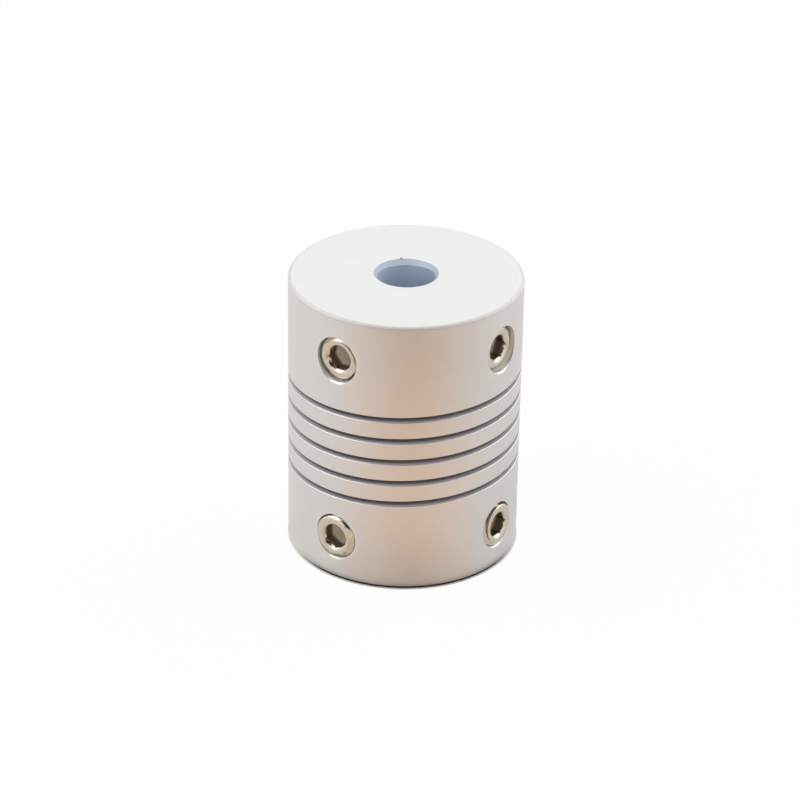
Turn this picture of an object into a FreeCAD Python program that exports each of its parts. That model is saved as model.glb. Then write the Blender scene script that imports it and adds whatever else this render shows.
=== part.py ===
"""Flexible shaft coupling: a one-piece aluminium cylinder with a helical slit, and four set screws.

The body is turned, bored through for the two shafts, and slit by a thin round saw that follows a
right-hand helix through the wall into the bore. What is left between the turns of the slit is a
flat spring, so the two hubs stay joined but can tilt, shift and twist a little. Each hub has two
tapped holes at right angles, with a cup-point set screw in each.

Millimetres. The origin is on the shaft axis at mid-length, +Z runs up the shafts, and the set
screws face -Y (front) and +X (right).
"""
import FreeCAD, Part
import enum
import math
import os

import Sketcher

SIZES = {
    # The body as it is turned.
    "body_diameter": 20.0,
    "body_length": 25.0,
    "rim_round": 0.3,
    "bore_diameter": 5.0,
    "bore_chamfer": 0.4,
    # The helical slit. The saw's centre stops slit_land short of the screw holes at each end.
    "slit_pitch": 2.0,
    "slit_width": 0.5,
    "slit_land": 1.75,
    "slit_middle_angle": -29.0,
    "saw_diameter": 25.0,
    "saw_overrun": 0.2,
    # The tapped holes at their thread's full diameter, and the play of a screw in one.
    "screw_inset": 4.05,
    "thread_diameter": 4.0,
    "thread_play": 0.04,
    "countersink_rim": 0.25,
    "countersink_angle": 90.0,
    # The set screws.
    "screw_length": 5.0,
    "screw_chamfer": 0.4,
    "socket_flats": 2.0,
    "socket_rim": 0.45,
    "socket_depth": 2.2,
    "drill_angle": 120.0,
    "cup_diameter": 2.0,
    "cup_angle": 120.0,
    # How far each screw's face stands out of the body's round surface. Below zero it is sunk in.
    "upper_front_stand": -0.40,
    "upper_right_stand": -0.45,
    "lower_front_stand": 0.10,
    "lower_right_stand": 0.12,
    # How far each hex socket is turned about its own screw.
    "upper_front_turn": 10.0,
    "upper_right_turn": 0.0,
    "lower_front_turn": 5.0,
    "lower_right_turn": -4.0,
}

# Turns of plain helix past the saw's travel at each end, which the saw's round edge then trims.
SPARE_TURNS = 0.2
# How far the saw's path starts outside the body, and how far its trim reaches past the shaft axis.
OUTSIDE = 0.5
PAST_AXIS = 1.0

# Sizes that follow from the sheet, as expressions on its cells.
BORE_RADIUS = "sizes.bore_diameter / 2"
BODY_RADIUS = "sizes.body_diameter / 2"
HALF_LENGTH = "sizes.body_length / 2"
SAW_RADIUS = "sizes.saw_diameter / 2"
SAW_REACH = f"({BORE_RADIUS} - sizes.saw_overrun)"
THREAD_RADIUS = "sizes.thread_diameter / 2"
SCREW_RADIUS = f"({THREAD_RADIUS} - sizes.thread_play)"
SCREW_HEIGHT = f"({HALF_LENGTH} - sizes.screw_inset)"
SAW_STOP = f"({SCREW_HEIGHT} - {THREAD_RADIUS} - sizes.slit_land)"
SAW_TURNS = f"(2 * {SAW_STOP} / sizes.slit_pitch)"
SWEPT_TURNS = f"({SAW_TURNS} + {2 * SPARE_TURNS})"
SOCKET_RADIUS = "sizes.socket_flats / 2"
CUP_RADIUS = "sizes.cup_diameter / 2"
POINT_DEPTH = f"({SCREW_RADIUS} - {CUP_RADIUS})"
CUP_DEPTH = f"({CUP_RADIUS} / tan(sizes.cup_angle * 1deg / 2))"


class Axis(enum.IntEnum):
    """The number by which a constraint names an axis of its sketch."""

    X = -1
    Y = -2


class Spot(enum.IntEnum):
    """The number by which a constraint names a point of a line, an arc or a circle."""

    START = 1
    END = 2
    CENTRE = 3


START, END, CENTRE = Spot
ORIGIN = (Axis.X, START)


def size_sheet(doc):
    """The driving dimensions, one cell each, under their own names."""
    sheet = doc.addObject("Spreadsheet::Sheet", "sizes")
    for row, (name, value) in enumerate(SIZES.items(), start=1):
        sheet.set(f"A{row}", name)
        sheet.set(f"B{row}", str(value))
        sheet.setAlias(f"B{row}", name)
    doc.recompute()


def value_of(item, expression):
    """What an expression on the sheet comes to now, as a plain number."""
    return float(item.evalExpression(expression))


def origin_feature(body, role):
    """The body's own origin plane or axis with this role."""
    return next(item for item in body.Origin.OriginFeatures if item.Role == role)


def new_sketch(body, name, role):
    """An empty sketch on one of the body's origin planes."""
    sketch = body.newObject("Sketcher::SketchObject", name)
    sketch.AttachmentSupport = (origin_feature(body, role), [""])
    sketch.MapMode = "FlatFace"
    return sketch


def add_outline(sketch, corners):
    """Straight lines round these corners, joined end to end and closed. Returns their numbers."""
    lines = add_lines(sketch, [*corners, corners[0]])
    join(sketch, (lines[-1], END), (lines[0], START))
    return lines


def add_lines(sketch, corners):
    """Straight lines from corner to corner, joined end to end. Returns their numbers."""
    points = [FreeCAD.Vector(x, y, 0) for x, y in corners]
    lines = [sketch.addGeometry(Part.LineSegment(a, b), False) for a, b in zip(points, points[1:])]
    for first, second in zip(lines, lines[1:]):
        join(sketch, (first, END), (second, START))
    return lines


def add_circle(sketch, x, y, radius, construction=False):
    """A circle about this point. Returns its number."""
    circle = Part.Circle(FreeCAD.Vector(x, y, 0), FreeCAD.Vector(0, 0, 1), radius)
    return sketch.addGeometry(circle, construction)


def join(sketch, first, second):
    """Make two points of a sketch one."""
    sketch.addConstraint(Sketcher.Constraint("Coincident", *first, *second))


def hold_on(sketch, point, line):
    """Keep a point on a line, a circle or an axis of the sketch."""
    sketch.addConstraint(Sketcher.Constraint("PointOnObject", *point, line))


def square_up(sketch, horizontal=(), vertical=()):
    """Keep these lines horizontal and those vertical."""
    for line in horizontal:
        sketch.addConstraint(Sketcher.Constraint("Horizontal", line))
    for line in vertical:
        sketch.addConstraint(Sketcher.Constraint("Vertical", line))


def measure(sketch, kind, places, name, expression):
    """A named size between two points, or of a circle, bound to the sheet."""
    start_value = value_of(sketch, expression)
    number = sketch.addConstraint(Sketcher.Constraint(kind, *places, start_value))
    sketch.renameConstraint(number, name)
    sketch.setExpression(f"Constraints.{name}", expression)


def coupling_body(doc):
    """The turned blank, its four tapped holes, and the helical slit."""
    body = doc.addObject("PartDesign::Body", "coupling_body")
    body.Label = "coupling_body"
    turn_blank(doc, body)
    drill_holes(doc, body, "front_holes", "XZ_Plane")
    drill_holes(doc, body, "right_holes", "YZ_Plane")
    slit = body.newObject("PartDesign::Boolean", "slit")
    slit.Type = "Cut"
    slit.addObjects([saw_path(doc)])
    return body


def turn_blank(doc, body):
    """The bored cylinder, with the mouths of its bore bevelled and its two rims rounded."""
    rings = new_sketch(body, "rings", "XY_Plane")
    for name, radius in (("bore", BORE_RADIUS), ("outside", BODY_RADIUS)):
        circle = add_circle(rings, 0, 0, value_of(rings, radius))
        join(rings, (circle, CENTRE), ORIGIN)
        measure(rings, "Radius", [circle], name, radius)
    tube = body.newObject("PartDesign::Pad", "tube")
    tube.Profile = rings
    tube.Midplane = True
    tube.setExpression("Length", "sizes.body_length")
    doc.recompute()
    mouths = end_edges(body, tube, BORE_RADIUS)
    bevels = break_edges(doc, body, "Chamfer", "bore_mouths", tube, mouths, "Size", "sizes.bore_chamfer")
    rims = end_edges(body, bevels, BODY_RADIUS)
    break_edges(doc, body, "Fillet", "rims", bevels, rims, "Radius", "sizes.rim_round")


def end_edges(body, base, radius):
    """Names of the base's circular edges of this radius in its two end faces."""
    wanted_radius, wanted_height = value_of(body, radius), value_of(body, HALF_LENGTH)
    names = []
    for number, edge in enumerate(base.Shape.Edges, start=1):
        if isinstance(edge.Curve, Part.Circle):
            off_radius = abs(edge.Curve.Radius - wanted_radius)
            off_height = abs(abs(edge.Curve.Center.z) - wanted_height)
            if max(off_radius, off_height) < 1e-6:
                names.append(f"Edge{number}")
    return names


def break_edges(doc, body, kind, name, base, edges, size, expression):
    """Bevel or round these edges of the base."""
    broken = body.newObject(f"PartDesign::{kind}", name)
    broken.Base = (base, edges)
    broken.setExpression(size, expression)
    doc.recompute()
    return broken


def drill_holes(doc, body, name, plane):
    """One row of tapped holes, upper and lower, drilled square to the shaft as far as its axis."""
    sketch = new_sketch(body, f"{name}_centres", plane)
    sketch.setExpression("AttachmentOffset.Base.z", BODY_RADIUS)
    radius, height = value_of(sketch, THREAD_RADIUS), value_of(sketch, SCREW_HEIGHT)
    upper = add_circle(sketch, 0, height, radius)
    lower = add_circle(sketch, 0, -height, radius)
    for circle in (upper, lower):
        hold_on(sketch, (circle, CENTRE), Axis.Y)
    measure(sketch, "Radius", [upper], "upper_radius", THREAD_RADIUS)
    measure(sketch, "Radius", [lower], "lower_radius", THREAD_RADIUS)
    measure(sketch, "DistanceY", [*ORIGIN, upper, CENTRE], "upper_height", SCREW_HEIGHT)
    measure(sketch, "DistanceY", [lower, CENTRE, *ORIGIN], "lower_height", SCREW_HEIGHT)
    holes = drill(doc, body, name, sketch, "sizes.thread_diameter", BODY_RADIUS)
    holes.DrillPoint = "Flat"
    countersink(holes, "sizes.thread_diameter + 2 * sizes.countersink_rim", "sizes.countersink_angle")
    doc.recompute()


def drill(doc, body, name, sketch, diameter, depth):
    """A plain hole at the centre of each circle of the sketch."""
    doc.recompute()
    hole = body.newObject("PartDesign::Hole", name)
    hole.Profile = sketch
    doc.recompute()
    hole.DepthType = "Dimension"
    hole.setExpression("Diameter", diameter)
    hole.setExpression("Depth", depth)
    return hole


def countersink(hole, diameter, angle):
    """Open a hole's mouth out to this diameter with a conical tool."""
    hole.HoleCutType = "Countersink"
    hole.HoleCutCustomValues = True
    hole.setExpression("HoleCutDiameter", diameter)
    hole.setExpression("HoleCutCountersinkAngle", angle)


def saw_path(doc):
    """What the saw sweeps: a helical strip, rounded off by the saw's edge where it stops."""
    path = doc.addObject("PartDesign::Body", "saw_path")
    path.setExpression("Placement.Rotation.Angle", f"sizes.slit_middle_angle - 180 * {SWEPT_TURNS}")
    outside = f"{BODY_RADIUS} + {OUTSIDE}"
    drop = f"{SWEPT_TURNS} / 2 * sizes.slit_pitch + sizes.slit_width / 2"
    strip = new_sketch(path, "strip_section", "XZ_Plane")
    near, far = value_of(strip, SAW_REACH), value_of(strip, outside)
    low = -value_of(strip, drop)
    high = low + value_of(strip, "sizes.slit_width")
    below, outer, above, inner = add_outline(strip, [(near, low), (far, low), (far, high), (near, high)])
    square_up(strip, horizontal=[below, above], vertical=[outer, inner])
    measure(strip, "DistanceX", [*ORIGIN, below, START], "reach", SAW_REACH)
    measure(strip, "DistanceX", [*ORIGIN, below, END], "outside", outside)
    measure(strip, "DistanceY", [below, START, *ORIGIN], "drop", drop)
    measure(strip, "DistanceY", [below, START, above, END], "thickness", "sizes.slit_width")
    helix = path.newObject("PartDesign::AdditiveHelix", "helix")
    helix.Profile = strip
    helix.ReferenceAxis = (origin_feature(path, "Z_Axis"), [""])
    helix.Mode = "pitch-turns-angle"
    helix.setExpression("Pitch", "sizes.slit_pitch")
    helix.setExpression("Turns", SWEPT_TURNS)
    doc.recompute()
    trim_end(doc, path, "low_end", -1, f"{SPARE_TURNS}")
    trim_end(doc, path, "high_end", 1, f"({SWEPT_TURNS} - {SPARE_TURNS})")
    return path


def trim_end(doc, path, name, side, turns):
    """Take off what the saw's round edge doesn't reach, past its stop these turns up the strip."""
    sketch = new_sketch(path, f"{name}_edge", "XY_Plane")
    sketch.setExpression("AttachmentOffset.Rotation.Angle", f"360 * {turns}")
    sketch.setExpression("AttachmentOffset.Base.z", f"{side} * ({SAW_STOP} - sizes.slit_pitch / 2)")
    reach, radius = value_of(sketch, SAW_REACH), value_of(sketch, SAW_RADIUS)
    circle = Part.Circle(FreeCAD.Vector(reach + radius, 0, 0), FreeCAD.Vector(0, 0, 1), radius)
    quarter = (math.pi / 2, math.pi) if side > 0 else (math.pi, 1.5 * math.pi)
    edge = sketch.addGeometry(Part.ArcOfCircle(circle, *quarter), False)
    lowest, beside = (END, START) if side > 0 else (START, END)
    across, back, along = add_lines(sketch, [
        (reach + radius, side * radius),
        (-PAST_AXIS, side * radius),
        (-PAST_AXIS, 0),
        (reach, 0),
    ])
    join(sketch, (edge, beside), (across, START))
    join(sketch, (along, END), (edge, lowest))
    square_up(sketch, horizontal=[across, along], vertical=[back])
    hold_on(sketch, (edge, CENTRE), Axis.X)
    hold_on(sketch, (edge, lowest), Axis.X)
    sketch.addConstraint(Sketcher.Constraint("Vertical", edge, beside, edge, CENTRE))
    measure(sketch, "Radius", [edge], "saw", SAW_RADIUS)
    measure(sketch, "DistanceX", [*ORIGIN, edge, lowest], "reach", SAW_REACH)
    measure(sketch, "DistanceX", [back, END, *ORIGIN], "past_axis", f"{PAST_AXIS}")
    trim = path.newObject("PartDesign::Pocket", name)
    trim.Profile = sketch
    trim.Reversed = side > 0
    trim.setExpression("Length", "1.5 * sizes.slit_pitch")
    doc.recompute()


def set_screw(doc, name, outward, height):
    """A headless screw with a hex socket, its face outward and its cup point towards the shaft."""
    body = doc.addObject("PartDesign::Body", f"set_screw_{name}")
    body.Label = f"set_screw_{name}"
    turn_screw(doc, body)
    pilot = new_sketch(body, "pilot_centre", "XY_Plane")
    circle = add_circle(pilot, 0, 0, value_of(pilot, SOCKET_RADIUS))
    join(pilot, (circle, CENTRE), ORIGIN)
    measure(pilot, "Radius", [circle], "radius", SOCKET_RADIUS)
    pilot_hole = drill(doc, body, "pilot", pilot, "sizes.socket_flats", "sizes.socket_depth")
    pilot_hole.DrillPoint = "Angled"
    pilot_hole.setExpression("DrillPointAngle", "sizes.drill_angle")
    countersink(pilot_hole, "sizes.socket_flats + 2 * sizes.socket_rim", "90")
    doc.recompute()
    socket = body.newObject("PartDesign::Pocket", "socket")
    socket.Profile = hexagon(body, f"sizes.{name}_turn")
    socket.setExpression("Length", "sizes.socket_depth")

    body.Placement.Rotation = FreeCAD.Rotation(FreeCAD.Vector(0, 0, 1), outward)
    for letter, share in zip("xy", outward):
        body.setExpression(f"Placement.Base.{letter}", f"{share} * ({BODY_RADIUS} + sizes.{name}_stand)")
    body.setExpression("Placement.Base.z", f"{height} * {SCREW_HEIGHT}")
    doc.recompute()
    return body


def turn_screw(doc, body):
    """The half section of a set screw, its face at Z = 0 and its cup point below, turned about Z."""
    sketch = new_sketch(body, "half_section", "XZ_Plane")
    radius, length = value_of(sketch, SCREW_RADIUS), value_of(sketch, "sizes.screw_length")
    bevel, cup = value_of(sketch, "sizes.screw_chamfer"), value_of(sketch, CUP_RADIUS)
    face, face_bevel, side, point, dish, axis = add_outline(sketch, [
        (0, 0),
        (radius - bevel, 0),
        (radius, -bevel),
        (radius, value_of(sketch, POINT_DEPTH) - length),
        (cup, -length),
        (0, value_of(sketch, CUP_DEPTH) - length),
    ])
    join(sketch, (face, START), ORIGIN)
    square_up(sketch, horizontal=[face], vertical=[side, axis])
    measure(sketch, "DistanceX", [*ORIGIN, side, START], "radius", SCREW_RADIUS)
    measure(sketch, "DistanceX", [face_bevel, START, face_bevel, END], "bevel_across", "sizes.screw_chamfer")
    measure(sketch, "DistanceY", [face_bevel, END, face_bevel, START], "bevel_deep", "sizes.screw_chamfer")
    measure(sketch, "DistanceY", [point, END, *ORIGIN], "length", "sizes.screw_length")
    measure(sketch, "DistanceX", [*ORIGIN, point, END], "cup_radius", CUP_RADIUS)
    measure(sketch, "DistanceY", [point, END, point, START], "point_depth", POINT_DEPTH)
    measure(sketch, "DistanceY", [dish, START, dish, END], "cup_depth", CUP_DEPTH)
    shank = body.newObject("PartDesign::Revolution", "shank")
    shank.Profile = sketch
    shank.ReferenceAxis = (origin_feature(body, "Z_Axis"), [""])
    shank.Angle = 360.0
    doc.recompute()


def hexagon(body, turn):
    """A regular hexagon on the screw's face, as wide across its flats as the key."""
    sketch = new_sketch(body, "hexagon", "XY_Plane")
    sketch.setExpression("AttachmentOffset.Rotation.Angle", turn)
    corner_radius = value_of(sketch, SOCKET_RADIUS) / math.cos(math.pi / 6)
    angles = [math.pi / 6 + math.pi / 3 * number for number in range(6)]
    lines = add_outline(sketch, [
        (corner_radius * math.cos(angle), corner_radius * math.sin(angle)) for angle in angles
    ])
    circle = add_circle(sketch, 0, 0, corner_radius, construction=True)
    join(sketch, (circle, CENTRE), ORIGIN)
    for line in lines:
        hold_on(sketch, (line, START), circle)
    for first, second in zip(lines, lines[1:]):
        sketch.addConstraint(Sketcher.Constraint("Equal", first, second))
    left, right = lines[2], lines[5]
    square_up(sketch, vertical=[right])
    measure(sketch, "DistanceX", [left, END, right, END], "flats", "sizes.socket_flats")
    return sketch


def check(doc, bodies):
    """Stop before anything is written if an object failed or a piece is not one sound solid."""
    for item in doc.Objects:
        if "Invalid" in item.State or "Error" in item.State:
            raise RuntimeError(f"{item.Name} could not be made: {item.State}")
    for body in bodies:
        shape = body.Shape
        if shape.isNull() or not shape.isValid() or len(shape.Solids) != 1:
            raise RuntimeError(f"{body.Label} is not one sound solid")


def main():
    doc = FreeCAD.newDocument("flexible_coupling")
    size_sheet(doc)
    front, right = FreeCAD.Vector(0, -1, 0), FreeCAD.Vector(1, 0, 0)
    bodies = [coupling_body(doc)]
    for row, height in (("upper", 1), ("lower", -1)):
        for side, outward in (("front", front), ("right", right)):
            bodies.append(set_screw(doc, f"{row}_{side}", outward, height))
    doc.recompute()
    check(doc, bodies)
    os.makedirs("parts", exist_ok=True)
    for body in bodies:
        body.Shape.exportStep(f"parts/{body.Label}.step")
        print(body.Label, round(body.Shape.Volume, 2), "mm3,", len(body.Shape.Faces), "faces")


main()
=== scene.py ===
"""Flexible shaft coupling with a helical slit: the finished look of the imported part.

The body and the four set screws are grown by Geometry Nodes from their workshop sizes, in the
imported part's own places. The stage is a pale floor, soft panels and the photograph's camera.
"""
import math
from types import SimpleNamespace

import bpy
from bpy.props import FloatProperty, FloatVectorProperty, IntProperty, PointerProperty
from mathutils import Matrix, Vector


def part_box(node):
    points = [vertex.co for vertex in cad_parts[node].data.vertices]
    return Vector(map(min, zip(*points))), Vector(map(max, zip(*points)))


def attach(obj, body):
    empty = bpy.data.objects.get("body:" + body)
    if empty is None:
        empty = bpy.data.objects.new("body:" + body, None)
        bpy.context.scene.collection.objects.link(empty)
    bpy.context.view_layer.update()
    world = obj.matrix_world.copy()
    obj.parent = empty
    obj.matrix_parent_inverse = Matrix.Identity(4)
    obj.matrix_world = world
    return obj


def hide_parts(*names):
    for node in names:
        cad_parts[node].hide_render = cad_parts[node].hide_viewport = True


bl_info = {
    "name": "Flexible shaft coupling",
    "version": (1, 0, 0),
    "blender": (4, 5, 0),
    "location": "View3D > Sidebar > Coupling",
    "description": "Builds a slit aluminium shaft coupling with its set screws and a small studio",
    "category": "Object",
}

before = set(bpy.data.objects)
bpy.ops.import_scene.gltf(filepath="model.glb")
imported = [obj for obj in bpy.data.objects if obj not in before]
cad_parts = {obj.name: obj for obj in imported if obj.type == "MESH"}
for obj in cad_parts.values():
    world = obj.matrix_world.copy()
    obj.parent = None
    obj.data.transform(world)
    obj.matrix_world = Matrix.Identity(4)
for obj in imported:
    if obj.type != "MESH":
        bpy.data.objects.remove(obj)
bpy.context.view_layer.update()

MM = 0.001
BODY_NODE = "coupling_body"
BODY_LOW, BODY_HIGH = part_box(BODY_NODE)
FLOOR_HEIGHT = BODY_LOW.z
FOOT_RADIUS = BODY_HIGH.y

# The two sides that carry screws: which way a screw faces, and the turn that lays +Z that way.
OUTWARD = {"front": Vector((0, -1, 0)), "right": Vector((1, 0, 0))}
LAY_DOWN = {"front": (math.radians(90), 0, 0), "right": (0, math.radians(90), 0)}
ROWS = {"upper": 1, "lower": -1}
# How far each hex socket is turned about its own screw, in degrees.
SOCKET_TURN = {
    ("upper", "front"): -20.0,
    ("upper", "right"): 0.0,
    ("lower", "front"): 5.0,
    ("lower", "right"): -4.0,
}
# The bore's upper mouth is widest and nicked this far round from +Y towards -X, and the bore's
# wall is painted darker, as painted shade, on the side this far round from +X towards +Y.
MOUTH_TURN = math.radians(35.0)

# Drills and countersinks of 120 degrees widen by this much for each millimetre of depth.
BLUNT_SLOPE = math.tan(math.radians(60))
THREAD_FLANK = math.radians(30)
# A thread's crest is its pitch divided by this.
CREST_PART = 8.0
# How far cutters stand out of the blank, how far apart faces are kept that would otherwise lie
# in one another, and the small round on an end that is buried.
OVER = 0.5 * MM
APART = 0.01 * MM
BURIED_ROUND = 0.02 * MM
# Flats round the bore, round the holes and screws, and round the screws' cores.
BORE_SIDES, HOLE_SIDES, CORE_SIDES = 128, 96, 72
# Steps in one turn of the saw, of the holes' thread and of the screws' thread.
SAW_STEPS, TAP_STEPS, THREAD_STEPS = 112, 40, 60
# Corners sharper than this stay crisp.
CRISP_ANGLE = math.radians(22)

# How closely marks, grain and clouds lie: the higher, the finer.
MARKS = {
    "fine": 16000.0, "broad": 2600.0, "grain": 14000.0, "clouds": 260.0,
    "screw": 22000.0, "screw_grain": 9000.0, "paper": 900.0, "cloth": 2000.0,
}
ROUGHNESS = {
    "turned": 0.33, "bore": 0.60, "hole": 0.28, "slit": 0.70, "upper_rim": 0.22, "lower_rim": 0.72,
    "screw": 0.13, "socket": 0.42,
}
# How metallic each of these is. The rest is plain metal.
METAL = {"bore": 0.75, "hole": 0.6, "slit": 0.2, "socket_floor_painted_light": 0.3}

# The photograph's camera, fitted to the object's outline: where it stands, and how it is aimed.
CAMERA_AZIMUTH = math.radians(35.0)
CAMERA_ELEVATION = math.radians(28.36)
CAMERA_DISTANCE = 0.2815
AIM_RIGHT, AIM_UP = -0.0013, 0.0014
CAMERA_ROLL = math.radians(0.894)
FOCAL_PIXELS = 3265.4
PICTURE_PIXELS = 800

# The stage, in metres and degrees. A soft box hangs this far round from the camera's side and
# this far up, and has this share of the boxes' brightness.
FLOOR_REACH = 3.0
CARD_RADIUS, CARD_CORNERS, CARD_LIFT = 0.11, 48, 0.02 * MM
SCREEN_DISTANCE, SCREEN_RISE, SCREEN_SIZE = 0.32, 37, (0.36, 0.40)
PANEL_BEHIND, PANEL_HEIGHT, PANEL_SIZE = 0.15, 0.38, (0.4, 0.25)
BOX_DISTANCE, BOX_SIZE = 0.38, (0.36, 0.36)
SOFT_BOXES = (("left_box", -82, 46, 1.0), ("right_box", 116, 30, 0.8))
# The card's tones: its two pale sides, far out, near the coupling, where it is painted shade,
# and right at its foot, where it is a near-black painted contact shadow.
CARD_TONES = {
    "left": (0.80, 0.785, 0.77, 1), "right": (0.76, 0.755, 0.755, 1), "far": (0.40, 0.27, 0.19, 1),
    "near": (0.34, 0.33, 0.33, 1), "foot": (0.02, 0.013, 0.010, 1),
}
CLOTH_TONES = (0.02, 0.015, 0.012, 1), (0.05, 0.04, 0.03, 1)
WHITE = (1, 1, 1, 1)
SQUARE = (-1, -1), (1, -1), (1, 1), (-1, 1)


def number(name, description, value, low=0.0):
    """A plain number that the panel shows."""
    return FloatProperty(name=name, description=description, default=value, min=low)


def measure(name, description, millimetres):
    """A size that the panel shows as a length."""
    return FloatProperty(
        name=name, description=description, default=millimetres * MM, min=0.0,
        unit="LENGTH", precision=5,
    )


def swatch(name, description, colour):
    """A colour that the panel shows as a swatch."""
    return FloatVectorProperty(
        name=name, description=description, default=colour, size=3, min=0.0, max=1.0, subtype="COLOR",
    )


class CouplingBodySizes(bpy.types.PropertyGroup):
    """What the body is turned, drilled and sawn to."""

    diameter: measure("Diameter", "Outside diameter of the body", round((BODY_HIGH.x - BODY_LOW.x) / MM, 2))
    length: measure("Length", "Length along the shafts", round((BODY_HIGH.z - BODY_LOW.z) / MM, 2))
    rim_round: measure("Rim round", "Radius of the two outer rims", 0.3)
    bore_diameter: measure("Bore", "Diameter of the shaft bore", 5.0)
    bore_chamfer: measure("Bore chamfer", "Bevel of the bore's two mouths", 0.4)
    slit_pitch: measure("Slit pitch", "Rise of the helical slit in one turn", 2.0)
    slit_width: measure("Slit width", "Thickness of the saw that cuts the slit", 0.5)
    slit_break: measure("Slit edge break", "Small bevel along the slit's outer edges", 0.03)
    saw_turns: number("Saw travel", "Turns that the saw makes round the body", 4.7, 0.5)
    saw_diameter: measure("Saw diameter", "Diameter of the saw, which rounds off the slit's ends", 25.0)
    saw_overrun: measure("Saw overrun", "How far the saw reaches into the bore", 0.2)
    slit_angle: FloatProperty(
        name="Slit middle", description="Where the middle of the slit lies round the body",
        default=math.radians(-29), subtype="ANGLE",
    )
    hole_inset: measure("Hole inset", "From an end face to the middle of its screw holes", 4.05)
    countersink_rim: measure("Countersink rim", "Width of the countersink round the thread", 0.25)
    hole_mouth: measure("Hole mouth", "Depth of the plain stretch before the thread", 1.0)
    mouth_rim: measure("Upper mouth rim", "Width of the blunt upper mouth's bevel", 0.28)
    mouth_offset: measure("Upper mouth offset", "How far off centre the upper mouth is", 0.3)
    nick: measure("Nick", "Radius of the small nick on the upper mouth's far edge", 0.15)
    nick_aside: measure("Nick aside", "How far the nick lies left of the mouth's middle", 0.43)
    sides: IntProperty(
        name="Sides", description="Flats round the outside", default=224, min=24, max=720,
    )


class SetScrewSizes(bpy.types.PropertyGroup):
    """The sizes of a set screw and of its tapped hole."""

    thread_diameter: measure("Thread", "Full diameter of the thread in the hole", 4.0)
    thread_pitch: measure("Thread pitch", "Advance of the screw in one turn", 0.7)
    thread_depth: measure("Thread depth", "Depth of the thread in the screw", 0.39)
    thread_play: measure("Thread play", "Gap in radius between the screw and its hole", 0.04)
    length: measure("Length", "From the screw's face to its cup point", 5.0)
    chamfer: measure("Face chamfer", "Bevel round the screw's face", 0.4)
    cup_diameter: measure("Cup diameter", "Diameter of the cup point's rim", 2.0)
    socket_flats: measure("Socket", "Width of the hex socket across its flats", 2.0)
    socket_depth: measure("Socket depth", "Depth of the hex socket", 2.2)
    socket_rim: measure("Socket rim", "Width of the bevel at the socket's mouth", 0.45)


class FinishColours(bpy.types.PropertyGroup):
    """The colours of the coupling's metals."""

    aluminium: swatch("Aluminium", "Turned outside of the body", (0.76, 0.745, 0.73))
    faced: swatch("Faced ends", "End faces of the body", (0.83, 0.83, 0.825))
    bore: swatch("Bore", "Walls of the bore", (0.79, 0.88, 1.0))
    mouth: swatch("Bore mouths", "Bevels at the bore's mouths", (0.43, 0.49, 0.60))
    sawn: swatch("Sawn walls", "Walls of the slit", (0.74, 0.71, 0.76))
    # Painted shade for the slit's walls further in.
    slit_painted_shade: swatch("Slit depths", "The slit's walls further in", (0.40, 0.37, 0.37))
    steel: swatch("Steel", "Bright steel of the set screws", (0.71, 0.64, 0.53))
    # Painted shade for the thread's grooves and the socket's walls.
    painted_recess_shade: swatch("Grooves", "Walls of the screw's thread and socket", (0.19, 0.15, 0.115))
    # Painted light: the socket's floor is paler than the steel.
    socket_floor_painted_light: swatch("Socket floor", "Lower part of the screw's socket", (0.97, 0.90, 0.79))


class StageSettings(bpy.types.PropertyGroup):
    """The floor and the light round the coupling."""

    sky: number("Sky", "Strength of the white room", 0.65)
    floor: swatch("Floor", "Colour of the floor", (0.9, 0.9, 0.9))
    card: swatch("Card", "Warm card on the floor in front", (0.92, 0.66, 0.48))
    panel: number("Panel", "Brightness of the panel overhead", 0.10)
    soft_box: number("Soft boxes", "Brightness of the two soft boxes", 1.2)


def values_of(settings):
    """A group's settings by name."""
    return {name: getattr(settings, name) for name in type(settings).__annotations__}


def rgba(colour, shade=1.0):
    """A colour, darkened by a share, as a node takes it."""
    return (*[shade * part for part in colour], 1)


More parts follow.
